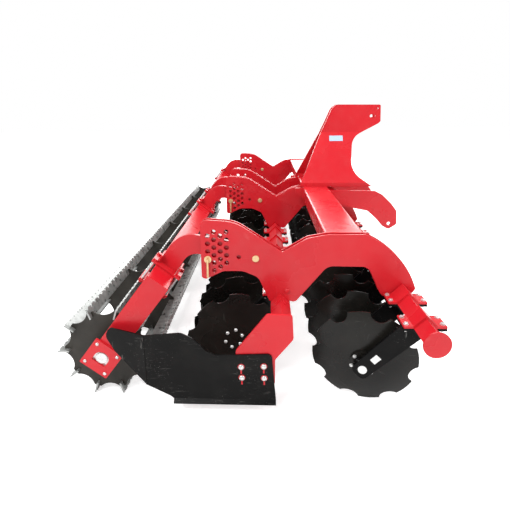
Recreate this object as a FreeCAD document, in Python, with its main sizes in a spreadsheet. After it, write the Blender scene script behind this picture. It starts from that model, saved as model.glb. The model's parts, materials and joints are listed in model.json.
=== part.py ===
"""Mounted compact disc harrow: two rows of single notched discs and a rear toothed-bar roller.

Frame: +X forward to the tractor, +Y to the machine's left, +Z up, millimetres.
The origin is on the ground, midway along the machine and on its centre plane.
"""
import FreeCAD, Part
import math
import os

V = FreeCAD.Vector
Rotation = FreeCAD.Rotation
Placement = FreeCAD.Placement

doc = FreeCAD.newDocument("DiscHarrow")

# ---------------------------------------------------------------- driving sizes

SIZES = [
    # tubes and beam
    ("tube_side", 70, "square tube that carries a disc row, outside"),
    ("tube_wall", 8, "wall of that tube"),
    ("rear_tube_x", 92, "rear tube axis"),
    ("rear_tube_z", 466, "rear tube axis height"),
    ("front_tube_x", 706, "front tube axis"),
    ("front_tube_z", 510, "front tube axis height"),
    ("tube_reach", 2280, "centre plane to the far end of each tube"),
    ("front_tube_left", 1800, "centre plane to the front tube's left end"),
    ("rear_tube_right", 2028, "centre plane to the rear tube's right end"),
    ("cap_radius", 57, "round end cap"),
    ("cap_thickness", 8, "round end cap"),
    ("beam_x", 416, "main beam centre line"),
    ("beam_width", 200, "main beam, along the machine"),
    ("beam_height", 100, "main beam, upright"),
    ("beam_wall", 8, "main beam wall"),
    ("beam_top", 820, "top face height of the main beam"),
    # longitudinal plates, in pairs at four stations
    ("outer_station", 1750, "centre plane to an outer plate pair"),
    ("inner_station", 250, "centre plane to an inner plate pair"),
    ("plate_gap", 30, "gap between the two plates of a pair"),
    ("plate_thickness", 12, "one longitudinal plate"),
    ("pivot_x", -34, "roller arm pivot"),
    ("pivot_z", 702, "roller arm pivot height"),
    ("pivot_pin_radius", 15, "roller arm pivot pin"),
    ("depth_pin_radius", 12.5, "depth stop pin"),
    ("depth_pin_x", -278, "depth stop pin"),
    ("grid_step_x", 32, "columns of the depth hole grid"),
    ("grid_step_z", 41, "rows of the depth hole grid"),
    ("pin_clearance", 0.05, "radial clearance of a pin in its hole"),
    ("rest_clearance", 0.3, "gap between a part and the stop it rests on"),
    # disc rows
    ("row_pitch", 250, "disc spacing in one row"),
    ("discs_per_row", 16, "discs in one row"),
    ("gang_angle", 15, "disc turned out of the line of travel, degrees"),
    ("disc_tilt", 8, "disc leaned over, degrees"),
    ("front_trail", 205, "disc centre behind the front tube"),
    ("rear_trail", 235, "disc centre behind the rear tube"),
    ("disc_radius", 255, "notched disc"),
    ("disc_thickness", 6, "notched disc"),
    ("dish_depth", 44, "disc centre to rim plane"),
    ("dish_flat", 75, "flat centre radius of the disc"),
    ("notch_count", 8, "notches in the rim"),
    ("notch_radius", 50, "notch"),
    ("notch_centre", 270, "disc centre to notch centre"),
    ("hub_radius", 66, "turning hub flange"),
    ("hub_thickness", 16, "turning hub flange"),
    ("hub_gap", 5, "running gap between hub flange and arm boss"),
    ("boss_radius", 45, "fixed boss on the arm"),
    ("boss_length", 14, "boss beyond the arm's face"),
    ("spindle_radius", 18, "spindle in the hub"),
    ("arm_thickness", 24, "arm plate"),
    ("arm_top_width", 104, "arm at the tube"),
    ("arm_end_radius", 40, "arm round its hub"),
    ("clamp_length", 110, "clamp half along the tube"),
    ("clamp_thickness", 10, "clamp half wall"),
    ("clamp_reach", 92, "tube axis to flange edge"),
    ("clamp_split", 2, "gap between clamp halves"),
    # roller and its frame
    ("roller_x", -806, "roller axis"),
    ("roller_radius", 250, "tooth tips of the bars"),
    ("roller_half", 1915, "centre plane to the bars' ends"),
    ("ring_span", 1890, "centre plane to the outermost ring"),
    ("ring_count", 7, "star rings"),
    ("ring_thickness", 8, "star ring plate"),
    ("ring_tip_radius", 222, "star ring points"),
    ("scallop_radius", 74, "scallop between two points"),
    ("scallop_centre", 270, "roller axis to scallop centre"),
    ("bar_count", 10, "toothed bars"),
    ("bar_width", 58, "bar, measured radially"),
    ("bar_thickness", 8, "bar"),
    ("tooth_pitch", 50, "teeth along a bar"),
    ("tooth_depth", 13, "valley below the tooth tips"),
    ("shaft_radius", 40, "roller centre tube"),
    ("journal_radius", 25, "roller end journal"),
    ("side_arm_tilt", 37.5, "side arm leaned forward, degrees"),
    ("side_arm_length", 511, "crossbeam top face to roller axis"),
    ("side_arm_width", 120, "side arm plate"),
    ("side_arm_thickness", 12, "side arm plate"),
    ("side_arm_inner", 1955, "centre plane to the side arm's inner face"),
    ("crossbeam_side", 110, "square crossbeam of the roller frame"),
    ("crossbeam_wall", 6, "crossbeam wall"),
    ("roller_arm_thickness", 20, "curved roller arm"),
    ("roller_arm_foot", 104, "curved roller arm at the crossbeam"),
    ("bearing_plate_side", 160, "square bearing plate"),
    ("bearing_plate_thickness", 12, "bearing plate"),
    ("bearing_radius", 54, "bearing housing"),
    ("bearing_length", 40, "bearing housing"),
    # headstock
    ("mast_thickness", 15, "mast plate"),
    ("mast_base_y", 310, "centre plane to a mast plate at the beam"),
    ("mast_top_y", 60, "centre plane to a mast plate at the top"),
    ("upper_hole_radius", 13, "upper link hole"),
    ("upper_hole_x", 931, "upper link hole"),
    ("upper_hole_z", 1427, "upper link hole"),
    ("hitch_y", 412.5, "centre plane to a lower hitch plate"),
    ("hitch_thickness", 20, "lower hitch plate"),
    ("hitch_hole_radius", 14.5, "lower hitch hole"),
    ("hitch_hole_x", 994, "lower hitch hole"),
    ("hitch_hole_z", 539, "lower hitch hole"),
    ("brace_side", 50, "square brace beside a hitch plate"),
    ("brace_length", 250, "square brace beside a hitch plate"),
    # side deflector
    ("bracket_thickness", 12, "bracket plate at the rear tube's end"),
    ("deflector_thickness", 8, "deflector plate"),
    ("deflector_turn", 15, "rear part of the deflector turned in, degrees"),
]

sheet = doc.addObject("Spreadsheet::Sheet", "Sizes")
for row, (alias, value, note) in enumerate(SIZES, start=1):
    sheet.set("A%d" % row, note)
    sheet.set("B%d" % row, str(value))
    sheet.setAlias("B%d" % row, alias)
doc.recompute()


def size(alias):
    """A driving size from the sheet."""
    return float(sheet.get(alias))


# ---------------------------------------------------------------- drawing helpers

def corner_arc(before, corner, after, radius):
    """Start, middle and end of the arc that rounds a corner."""
    back = (before - corner).normalize()
    ahead = (after - corner).normalize()
    half = back.getAngle(ahead) / 2
    reach = radius / math.tan(half)
    centre = corner + (back + ahead).normalize() * (radius / math.sin(half))
    middle = centre + (corner - centre).normalize() * radius
    return corner + back * reach, middle, corner + ahead * reach


def rounded(corners):
    """Closed outline from (x, z) or (x, z, radius) corners."""
    points = [V(corner[0], corner[1], 0) for corner in corners]
    pieces = []
    for index, corner in enumerate(corners):
        radius = corner[2] if len(corner) > 2 else 0
        here = points[index]
        if radius == 0:
            pieces.append((here, None, here))
        else:
            pieces.append(corner_arc(points[index - 1], here, points[(index + 1) % len(points)], radius))
    edges = []
    for index, (start, middle, end) in enumerate(pieces):
        if middle is not None:
            edges.append(Part.Arc(start, middle, end))
        following = pieces[(index + 1) % len(pieces)][0]
        if (following - end).Length > 1e-6:
            edges.append(Part.LineSegment(end, following))
    return edges


def circle(x, z, radius):
    return [Part.Circle(V(x, z, 0), V(0, 0, 1), radius)]


def slot(x, z, length, width):
    """Level slot centred on a point."""
    r = width / 2
    half = length / 2
    end = r - 0.001
    return rounded([(x - half, z - r, end), (x + half, z - r, end), (x + half, z + r, end), (x - half, z + r, end)])


def new_body(name):
    body = doc.addObject("PartDesign::Body", name)
    body.Label = name
    return body


def origin_item(body, role):
    return next(item for item in body.Origin.OriginFeatures if item.Role == role)


def draw(body, name, role, geometry, offset=0):
    """Sketch on one of the body's own origin planes."""
    sketch = body.newObject("Sketcher::SketchObject", name)
    sketch.AttachmentSupport = [(origin_item(body, role), "")]
    sketch.MapMode = "FlatFace"
    sketch.AttachmentOffset = Placement(V(0, 0, offset), Rotation())
    for item in geometry:
        sketch.addGeometry(item)
    return sketch


def pad(body, sketch, alias):
    """Symmetric pad whose length is a size of the sheet."""
    feature = body.newObject("PartDesign::Pad", sketch.Name + "Pad")
    feature.Profile = sketch
    feature.SideType = "Symmetric"
    feature.setExpression("Length", "Sizes." + alias)
    doc.recompute()
    return feature


def cut_through(body, sketch):
    """Pocket through everything, both ways; it must take material away."""
    before = body.Shape.Volume
    feature = body.newObject("PartDesign::Pocket", sketch.Name + "Pocket")
    feature.Profile = sketch
    feature.Type = "ThroughAll"
    feature.SideType = "Symmetric"
    doc.recompute()
    if body.Shape.Volume >= before:
        raise RuntimeError(sketch.Name + " cuts nothing")
    return feature


def polar(body, feature, alias, role="Y_Axis"):
    """Full-circle pattern of one feature."""
    pattern = body.newObject("PartDesign::PolarPattern", feature.Name + "Ring")
    pattern.Originals = [feature]
    pattern.Axis = (origin_item(body, role), [""])
    pattern.Angle = 360
    pattern.setExpression("Occurrences", "Sizes." + alias)
    body.Tip = pattern
    doc.recompute()
    return pattern


def copies(label, shape, placements):
    """One node made of placed copies of a shape."""
    node = doc.addObject("Part::Feature", label)
    node.Label = label
    solids = []
    for place in placements:
        placed = shape.copy()
        placed.Placement = place.multiply(placed.Placement)
        solids.extend(placed.Solids)
    node.Shape = Part.makeCompound(solids) if len(solids) > 1 else solids[0]
    return node


def at(x=0, y=0, z=0, rotation=None):
    return Placement(V(x, y, z), rotation or Rotation())


def face_of(points):
    """Planar face from a closed list of vectors."""
    return Part.Face(Part.makePolygon(points + [points[0]]))


def square_tube(label, side_alias, wall_alias, length, place):
    """Hollow square tube along Y, centred on its placement."""
    outer = doc.addObject("Part::Box", label + "_outer")
    inner = doc.addObject("Part::Box", label + "_inner")
    for box, shrink in ((outer, ""), (inner, " - 2 * Sizes." + wall_alias)):
        box.setExpression("Length", "Sizes." + side_alias + shrink)
        box.setExpression("Height", "Sizes." + side_alias + shrink)
        box.Width = length
    side = size(side_alias)
    wall = size(wall_alias)
    outer.Placement = at(-side / 2, -length / 2, -side / 2)
    inner.Placement = at(-side / 2 + wall, -length / 2, -side / 2 + wall)
    tube = doc.addObject("Part::Cut", label)
    tube.Label = label
    tube.Base = outer
    tube.Tool = inner
    tube.Placement = place
    doc.recompute()
    return tube


# ---------------------------------------------------------------- derived places

half_diagonal = size("tube_side") / math.sqrt(2)
rear_x, rear_z = size("rear_tube_x"), size("rear_tube_z")
front_x, front_z = size("front_tube_x"), size("front_tube_z")
pivot_x, pivot_z = size("pivot_x"), size("pivot_z")
beam_rear = size("beam_x") - size("beam_width") / 2
beam_front = size("beam_x") + size("beam_width") / 2
beam_top = size("beam_top")
beam_bottom = beam_top - size("beam_height")
pair_width = size("plate_gap") + 2 * size("plate_thickness")

tilt = math.radians(size("side_arm_tilt"))
arm_up = V(math.sin(tilt), 0, math.cos(tilt))
arm_out = V(math.cos(tilt), 0, -math.sin(tilt))
roller_rest = math.radians(180 / size("bar_count"))
roller_z = size("roller_radius") * math.cos(roller_rest) + size("bar_thickness") / 2 * math.sin(roller_rest)
roller_axis = V(size("roller_x"), 0, roller_z)
crossbeam_top = roller_axis + arm_up * size("side_arm_length")
crossbeam_centre = crossbeam_top - arm_up * (size("crossbeam_side") / 2)
lean = Rotation(V(0, 1, 0), size("side_arm_tilt"))

# lower edge of the curved roller arm, from the pivot lobe to its bend
arm_lobe = 50
arm_bend = (-375, 730)
lower_slope = (arm_bend[1] - (pivot_z - arm_lobe)) / (arm_bend[0] - (pivot_x + arm_lobe))
lower_at_pin = pivot_z - arm_lobe + lower_slope * (size("depth_pin_x") - pivot_x - arm_lobe)
pin_drop = (size("depth_pin_radius") + size("rest_clearance")) * math.sqrt(1 + lower_slope ** 2)
depth_pin_z = lower_at_pin - pin_drop


# ---------------------------------------------------------------- longitudinal plates

def plate_outline():
    """Side outline of a longitudinal plate, from its rear top corner clockwise."""
    return rounded([
        (-313, 905, 35),
        (-139, 893, 200),
        (101, 735, 10),
        (226, 808, 90),
        (521, 828, 150),
        (701, 745, 250),
        (792, 558, 8),
        (774, 534, 8),
        (front_x + 40, front_z + half_diagonal - 40),
        (front_x, front_z + half_diagonal),
        (front_x - half_diagonal, front_z),
        (645, 496, 6),
        (632, 515, 10),
        (556, 668, 70),
        (336, 672, 90),
        (172, 464, 25),
        (rear_x + 44, rear_z + half_diagonal - 44),
        (rear_x, rear_z + half_diagonal),
        (rear_x - 44, rear_z + half_diagonal - 44),
        (37, 470, 5),
        (-21, 600, 60),
        (-99, 634, 100),
        (-199, 634, 60),
        (-294, 588, 25),
        (-313, 600, 12),
    ])


def grid_holes():
    """Depth hole grid: four staggered columns; the pin sits in the rearmost column."""
    radius = size("depth_pin_radius") + size("pin_clearance")
    top = depth_pin_z + 3.5 * size("grid_step_z")
    holes = []
    for column, (count, stagger) in enumerate(((4, 0.5), (6, 0), (5, 0.5), (5, 0))):
        for row in range(count):
            x = size("depth_pin_x") + column * size("grid_step_x")
            holes += circle(x, top - (row + stagger) * size("grid_step_z"), radius)
    return holes


def plate_pair(name, through_beam):
    """Two longitudinal plates with the roller arm's gap between them."""
    body = new_body(name)
    outline = plate_outline() + circle(pivot_x, pivot_z, size("pivot_pin_radius") + size("pin_clearance"))
    outline += circle(-120, 709, 11) + grid_holes()
    pad(body, draw(body, name + "Side", "XZ_Plane", outline), "pair_width")
    gap = draw(body, name + "Gap", "YZ_Plane", rounded([
        (-size("plate_gap") / 2, 300), (size("plate_gap") / 2, 300),
        (size("plate_gap") / 2, 1000), (-size("plate_gap") / 2, 1000)]))
    cut_through(body, gap)
    if through_beam:
        slot_edges = rounded([(beam_rear, beam_bottom), (beam_front, beam_bottom),
                              (beam_front, beam_top + 50), (beam_rear, beam_top + 50)])
        cut_through(body, draw(body, name + "Slot", "XZ_Plane", slot_edges))
    return body


next_row = len(SIZES) + 1
sheet.set("A%d" % next_row, "overall width of a plate pair")
sheet.set("B%d" % next_row, "=plate_gap + 2 * plate_thickness")
sheet.setAlias("B%d" % next_row, "pair_width")
doc.recompute()

outer_pair = plate_pair("OuterPair", False)
inner_pair = plate_pair("InnerPair", True)
nodes = []
nodes.append(copies("frame_plates_outer", outer_pair.Shape,
                    [at(y=side * size("outer_station")) for side in (-1, 1)]))
nodes.append(copies("frame_plates_inner", inner_pair.Shape,
                    [at(y=side * size("inner_station")) for side in (-1, 1)]))


# ---------------------------------------------------------------- beam and tubes

def main_beam():
    """Hollow beam between the inner faces of the outer plate pairs."""
    length = 2 * (size("outer_station") - pair_width / 2)
    body = new_body("front_beam")
    wall = size("beam_wall")
    section = rounded([(beam_rear, beam_bottom, 12), (beam_front, beam_bottom, 12),
                       (beam_front, beam_top, 12), (beam_rear, beam_top, 12)])
    section += rounded([(beam_rear + wall, beam_bottom + wall), (beam_front - wall, beam_bottom + wall),
                        (beam_front - wall, beam_top - wall), (beam_rear + wall, beam_top - wall)])
    feature = pad(body, draw(body, "BeamSection", "XZ_Plane", section), "outer_station")
    feature.setExpression("Length", "2 * Sizes.outer_station - Sizes.pair_width")
    doc.recompute()
    if abs(body.Shape.BoundBox.YLength - length) > 0.01:
        raise RuntimeError("beam length")
    return body


nodes.append(main_beam())

on_edge = Rotation(V(0, 1, 0), 45)
front_length = size("tube_reach") + size("front_tube_left")
front_middle = (size("front_tube_left") - size("tube_reach")) / 2
rear_length = size("tube_reach") + size("rear_tube_right")
rear_middle = (size("tube_reach") - size("rear_tube_right")) / 2
nodes.append(square_tube("front_tube", "tube_side", "tube_wall", front_length,
                         at(front_x, front_middle, front_z, on_edge)))
nodes.append(square_tube("rear_tube", "tube_side", "tube_wall", rear_length,
                         at(rear_x, rear_middle, rear_z, on_edge)))


def end_cap():
    cap = doc.addObject("Part::Cylinder", "EndCap")
    cap.setExpression("Radius", "Sizes.cap_radius")
    cap.setExpression("Height", "Sizes.cap_thickness")
    doc.recompute()
    return cap.Shape


to_right = Rotation(V(1, 0, 0), 90)
to_left = Rotation(V(1, 0, 0), -90)
nodes.append(copies("tube_end_caps", end_cap(), [
    at(front_x, -size("tube_reach"), front_z, to_right),
    at(front_x, size("front_tube_left"), front_z, to_left),
    at(rear_x, size("tube_reach"), rear_z, to_left)]))


# ---------------------------------------------------------------- disc rows

gang = math.radians(size("gang_angle"))
disc_lean = math.radians(size("disc_tilt"))
rim_to_flange = size("dish_depth") + size("disc_thickness") + size("hub_thickness")
rim_to_arm = rim_to_flange + size("hub_gap") + size("boss_length") + size("arm_thickness") / 2
disc_z = size("disc_radius") * math.cos(disc_lean) + size("disc_thickness") * math.sin(disc_lean)


def disc_axis(side):
    """Unit vector out of the disc's hollow face; side is +1 in the front row, -1 in the rear row."""
    return V(math.sin(gang) * math.cos(disc_lean), side * math.cos(gang) * math.cos(disc_lean), math.sin(disc_lean))


def row_offset(trail):
    """How far a disc's rim centre stands to the side of its clamp."""
    return rim_to_arm * math.cos(disc_lean) / math.cos(gang) + trail * math.tan(gang)


def disc_positions(side):
    """Sideways places of the disc centres of one row; the rows stand half a pitch apart."""
    first = -(size("discs_per_row") - 1) / 2 * size("row_pitch") - side * size("row_pitch") / 4
    return [first + index * size("row_pitch") for index in range(int(size("discs_per_row")))]


def notched_disc():
    """Dished disc with its turning hub flange; local Y is the axis and leaves the hollow face."""
    body = new_body("NotchedDisc")
    rim, flat = size("disc_radius"), size("dish_flat")
    depth, thick = size("dish_depth"), size("disc_thickness")
    hub, bore = size("hub_radius"), size("spindle_radius") + size("pin_clearance")
    focus = (rim ** 2 - flat ** 2 - depth ** 2) / (2 * depth)
    dish = math.hypot(rim, focus)
    bend = (flat + rim) / 2
    bend_y = focus - math.sqrt(dish ** 2 - bend ** 2)
    back = -depth - thick
    flange = back - size("hub_thickness")
    geometry = rounded([(0, -depth), (flat, -depth), (bend, bend_y), (rim, 0), (rim, -thick), (bend, bend_y - thick),
                        (flat, back), (hub, back), (hub, flange), (bore, flange), (bore, back), (0, back)])
    profile = draw(body, "DiscProfile", "XY_Plane", geometry)
    turned = body.newObject("PartDesign::Revolution", "DiscTurned")
    turned.Profile = profile
    turned.ReferenceAxis = (origin_item(body, "Y_Axis"), [""])
    turned.Angle = 360
    doc.recompute()
    notch = draw(body, "Notch", "XZ_Plane", circle(0, size("notch_centre"), size("notch_radius")))
    polar(body, cut_through(body, notch), "notch_count")
    return body


disc_master = notched_disc()
tooth_down = 180 / size("notch_count")


def disc_turn(index):
    """Each disc stopped at its own turn, always with a tooth towards the ground."""
    return tooth_down + 2 * ((5 * index) % 9 - 4)


disc_nodes = []
for side, trail, row_x, row_name in ((1, size("front_trail"), front_x, "front"),
                                     (-1, size("rear_trail"), rear_x, "rear")):
    axis = disc_axis(side)
    up = (V(0, 0, 1) - axis * axis.z).normalize()
    stance = Rotation(axis.cross(up), axis, up, "YZX")
    for index, disc_y in enumerate(disc_positions(side)):
        spin = Rotation(V(0, 1, 0), disc_turn(index))
        place = at(row_x - trail, disc_y, disc_z, stance.multiply(spin))
        disc_nodes.append(copies("disc_%s_%02d" % (row_name, index + 1), disc_master.Shape, [place]))
nodes += disc_nodes


def clamp_profile(sign):
    """Half a clamp round the tube on edge, in the tube's own XZ axes; sign +1 is the upper half."""
    outer = half_diagonal + size("clamp_thickness") * math.sqrt(2)
    gap = size("clamp_split") / 2
    flange = gap + size("clamp_thickness")
    reach = size("clamp_reach")
    points = [(-reach, gap), (gap - half_diagonal, gap), (0, half_diagonal), (half_diagonal - gap, gap),
              (reach, gap), (reach, flange), (outer - flange, flange), (0, outer), (flange - outer, flange),
              (-reach, flange)]
    return [V(x, -size("clamp_length") / 2, sign * z) for x, z in points]


def clamp_half(sign):
    return face_of(clamp_profile(sign)).extrude(V(0, size("clamp_length"), 0))


def arm_shape(side, trail, drop):
    """Arm with its lower clamp half, boss and spindle; local origin on the tube axis."""
    thick = size("arm_thickness")
    axis = disc_axis(side)
    root = V(-trail, 0, 0) - axis * rim_to_arm
    root.y = side * (trail + axis.x * rim_to_arm) * math.tan(gang)
    root.z = -drop - axis.z * rim_to_arm
    level = math.hypot(root.x, root.y)
    length = math.hypot(level, root.z)
    along = V(-level / length, 0, root.z / length)
    across = V(along.z, 0, -along.x)
    end = size("arm_end_radius")
    wide = size("arm_top_width") / 2
    hub = along * length
    corners = [across * wide, hub + across * end + along * end, hub - across * end + along * end, across * -wide]
    rounding = (0, end * 0.6, end * 0.6, 0)
    edges = rounded([(p.x, p.z, r) for p, r in zip(corners, rounding)])
    wire = Part.Wire(Part.__sortEdges__([edge.toShape() for edge in edges]))
    plate = Part.Face(wire).extrude(V(0, 0, thick))
    plate.Placement = Placement(V(0, thick / 2, 0), Rotation(V(1, 0, 0), 90))
    plate.rotate(V(0, 0, 0), V(0, 0, 1), -side * size("gang_angle"))
    reach = 2 * size("clamp_reach")
    above = Part.makeBox(2 * reach, 2 * reach, reach, V(-reach, -reach, -size("clamp_split") / 2))
    inner = Part.makeBox(size("tube_side"), 2 * reach, size("tube_side"),
                         V(-size("tube_side") / 2, -reach, -size("tube_side") / 2))
    inner.rotate(V(0, 0, 0), V(0, 1, 0), 45)
    plate = plate.cut([above, inner])
    boss = Part.makeCylinder(size("boss_radius"), thick / 2 + size("boss_length"), root, axis)
    spindle_length = rim_to_arm - size("dish_depth") - size("disc_thickness") - 2
    spindle = Part.makeCylinder(size("spindle_radius"), spindle_length, root, axis)
    return clamp_half(-1).fuse([plate, boss, spindle]).removeSplitter()


for side, trail, row_x, row_z, row_name in ((1, size("front_trail"), front_x, front_z, "front"),
                                            (-1, size("rear_trail"), rear_x, rear_z, "rear")):
    clamp_places = [at(row_x, y - side * row_offset(trail), row_z) for y in disc_positions(side)]
    nodes.append(copies(row_name + "_arms", arm_shape(side, trail, row_z - disc_z), clamp_places))
    nodes.append(copies(row_name + "_clamps", clamp_half(1), clamp_places))


# ---------------------------------------------------------------- headstock

def headstock_mast():
    """Two mast plates, bent so that they lean together between the base and the top."""
    body = new_body("MastSide")
    outline = rounded([
        (288, beam_top, 0), (563, 1434, 30), (600, 1462, 30), (960, 1457, 12), (966, 1325, 10), (951, 1308, 8),
        (735, 1195, 120), (705, 935, 150), (872, beam_top, 0)])
    outline += circle(size("upper_hole_x"), size("upper_hole_z"), size("upper_hole_radius"))
    outline += slot(899, 1367, 48, 26)
    width = draw(body, "MastOutline", "XZ_Plane", outline)
    feature = pad(body, width, "mast_base_y")
    feature.setExpression("Length", "2 * Sizes.mast_base_y + 4 * Sizes.mast_thickness")
    doc.recompute()
    thick = size("mast_thickness")
    base, top = size("mast_base_y"), size("mast_top_y")
    low, bend = beam_top + 30, 1240
    section = []
    for side in (-1, 1):
        section.append(face_of([V(280, side * y, z) for y, z in (
            (base, beam_top), (base, low), (top, bend), (top, 1480),
            (top - thick, 1480), (top - thick, bend - 6), (base - thick, low - 6), (base - thick, beam_top))]))
    sheets = [face.extrude(V(800, 0, 0)) for face in section]
    plates = [body.Shape.common(sheet_solid) for sheet_solid in sheets]
    return copies("headstock_mast", Part.makeCompound(plates), [at()])


def lower_hitch():
    """Lower hitch plates with the square braces beside them."""
    body = new_body("HitchPlate")
    outline = rounded([
        (beam_front, beam_bottom - 10, 0), (beam_front, beam_top - 12, 0), (870, 803, 40), (930, 772, 15),
        (1004, 701, 15), (1049, 643, 15), (1056, 534, 20), (994, 493, 25), (945, 520, 15), (890, 582, 30),
        (820, 645, 40), (700, 668, 60)])
    outline += circle(size("hitch_hole_x"), size("hitch_hole_z"), size("hitch_hole_radius"))
    pad(body, draw(body, "HitchOutline", "XZ_Plane", outline), "hitch_thickness")
    brace = doc.addObject("Part::Box", "Brace")
    brace.setExpression("Length", "Sizes.brace_length")
    brace.setExpression("Width", "Sizes.brace_side")
    brace.setExpression("Height", "Sizes.brace_side")
    doc.recompute()
    face = size("hitch_y") - size("hitch_thickness") / 2
    solids = []
    for side in (-1, 1):
        plate = body.Shape.copy()
        plate.translate(V(0, side * size("hitch_y"), 0))
        bar = brace.Shape.copy()
        bar.translate(V(beam_front, side * (face - size("brace_side") / 2) - size("brace_side") / 2, beam_top - 80))
        solids.append(plate.fuse(bar))
    return copies("lower_hitch", Part.makeCompound(solids), [at()])


def mast_feet():
    """Small gussets behind the beam under the mast plates."""
    body = new_body("MastFoot")
    outline = rounded([(beam_rear, beam_top - 85, 0), (beam_rear, beam_top, 0), (beam_rear - 70, beam_top, 12),
                       (beam_rear - 60, beam_top - 40, 15)])
    pad(body, draw(body, "FootOutline", "XZ_Plane", outline), "mast_thickness")
    return copies("mast_feet", body.Shape, [at(y=side * (size("mast_base_y") + 50)) for side in (-1, 1)])


nodes.append(headstock_mast())
nodes.append(lower_hitch())
nodes.append(mast_feet())


# ---------------------------------------------------------------- side deflector

def deflector_bracket():
    """Plate on the right end of the rear tube."""
    body = new_body("deflector_bracket")
    outline = rounded([(23, 520, 20), (141, 515, 12), (148, 393, 30), (62, 285, 20), (62, 150, 15),
                       (-125, 150, 15), (-125, 330, 20)])
    pad(body, draw(body, "BracketOutline", "XZ_Plane", outline), "bracket_thickness")
    body.Placement = at(y=-size("rear_tube_right") - size("bracket_thickness") / 2)
    doc.recompute()
    return body


def side_deflector():
    """Deflector plate: flat front part, rear part turned in, a lip along the bottom edge."""
    thick = size("deflector_thickness")
    face = -size("rear_tube_right") - size("bracket_thickness")
    bend = -560
    front = rounded([(67, 70, 0), (46, 308, 8), (30, 318, 10), (-218, 309, 0), (-264, 328, 40), (-323, 393, 50),
                     (-382, 424, 50), (bend, 408, 0), (bend, 143, 0), (-447, 84, 20), (-432, 70, 0)])
    stretch = 1 / math.cos(math.radians(size("deflector_turn")))
    tail = rounded([(0, 408, 0), (-180 * stretch, 424, 30), (-205 * stretch, 374, 40), (-158 * stretch, 299, 10),
                    (0, 143, 0)])
    shapes = []
    for edges in (front, tail):
        wire = Part.Wire(Part.__sortEdges__([edge.toShape() for edge in edges]))
        flat = Part.Face(wire).extrude(V(0, 0, thick))
        flat.Placement = Placement(V(0, 0, 0), Rotation(V(1, 0, 0), 90))
        shapes.append(flat)
    shapes[1].rotate(V(0, 0, 0), V(0, 0, 1), -size("deflector_turn"))
    shapes[1].translate(V(bend, 0, 0))
    lip = face_of([V(-432, 0, 72), V(-432, -thick, 72), V(-432, -thick - 18, 52), V(-432, -18, 48)])
    shapes.append(lip.extrude(V(499, 0, 0)))
    plate = shapes[0].fuse(shapes[1:]).removeSplitter()
    return copies("side_deflector", plate, [at(y=face)])


nodes.append(deflector_bracket())
nodes.append(side_deflector())


# ---------------------------------------------------------------- pins

stations = [side * size(name) for name in ("outer_station", "inner_station") for side in (-1, 1)]


def pivot_pin():
    half = pair_width / 2
    pin = Part.makeCylinder(size("pivot_pin_radius"), pair_width + 14, V(0, half + 14, 0), V(0, -1, 0))
    head = Part.makeCylinder(size("pivot_pin_radius") + 7, 8, V(0, -half, 0), V(0, -1, 0))
    return pin.fuse(head).removeSplitter()


def depth_pin():
    """Stop pin with a hanging handle."""
    half = pair_width / 2
    radius = size("depth_pin_radius")
    pin = Part.makeCylinder(radius, pair_width + 20, V(0, half + 20, 0), V(0, -1, 0))
    head = Part.makeCylinder(radius + 6, 8, V(0, -half, 0), V(0, -1, 0))
    stub = Part.makeCylinder(6, 20, V(0, -half - 8, 0), V(0, -1, 0))
    handle = Part.makeCylinder(6, 96, V(0, -half - 22, 6), V(0, 0, -1))
    return pin.fuse([head, stub, handle]).removeSplitter()


nodes.append(copies("pivot_pins", pivot_pin(), [at(pivot_x, y, pivot_z) for y in stations]))
nodes.append(copies("depth_pins", depth_pin(), [at(size("depth_pin_x"), y, depth_pin_z) for y in stations]))


# ---------------------------------------------------------------- roller frame

def roller_arms():
    """Curved arms from the pivots to flange clamps on the crossbeam."""
    body = new_body("RollerArm")
    foot = size("roller_arm_foot") / 2
    rear_end = crossbeam_top - arm_out * foot
    front_end = crossbeam_top + arm_out * foot
    bore = size("pivot_pin_radius") + size("pin_clearance")
    outline = rounded([
        (pivot_x + arm_lobe, pivot_z + arm_lobe, 45), (-420, 839, 150), (rear_end.x, rear_end.z, 0),
        (front_end.x, front_end.z, 0), (arm_bend[0], arm_bend[1], 80), (pivot_x + arm_lobe, pivot_z - arm_lobe, 45)])
    outline += circle(pivot_x, pivot_z, bore)
    pad(body, draw(body, "ArmOutline", "XZ_Plane", outline), "roller_arm_thickness")
    return copies("roller_arms", body.Shape, [at(y=y) for y in stations])


def crossbeam():
    length = 2 * size("side_arm_inner")
    return square_tube("roller_crossbeam", "crossbeam_side", "crossbeam_wall", length,
                       at(crossbeam_centre.x, 0, crossbeam_centre.z, lean))


def side_arms():
    """Flat side arms at the crossbeam's ends."""
    body = new_body("SideArm")
    half = size("side_arm_width") / 2
    low = size("bearing_radius") + 6
    outline = rounded([(-half, low, 8), (half, low, 8), (half, size("side_arm_length"), 6),
                       (-half, size("side_arm_length"), 6)])
    pad(body, draw(body, "SideArmOutline", "XZ_Plane", outline), "side_arm_thickness")
    offset = size("side_arm_inner") + size("side_arm_thickness") / 2
    return copies("roller_side_arms", body.Shape,
                  [at(roller_axis.x, side * offset, roller_axis.z, lean) for side in (-1, 1)])


def bearing_plates():
    """Square plates outside the side arms, each with an arched window over the bearing."""
    body = new_body("BearingPlate")
    half = size("bearing_plate_side") / 2
    outline = rounded([(-half, -half, 6), (half, -half, 6), (half, half, 6), (-half, half, 6)])
    outline += rounded([(-38, -30, 4), (38, -30, 4), (38, 38, 37), (-38, 38, 37)])
    pad(body, draw(body, "BearingOutline", "XZ_Plane", outline), "bearing_plate_thickness")
    offset = size("side_arm_inner") + size("side_arm_thickness") + size("bearing_plate_thickness") / 2
    return copies("roller_bearing_plates", body.Shape,
                  [at(roller_axis.x, side * offset, roller_axis.z, lean) for side in (-1, 1)])


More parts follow.
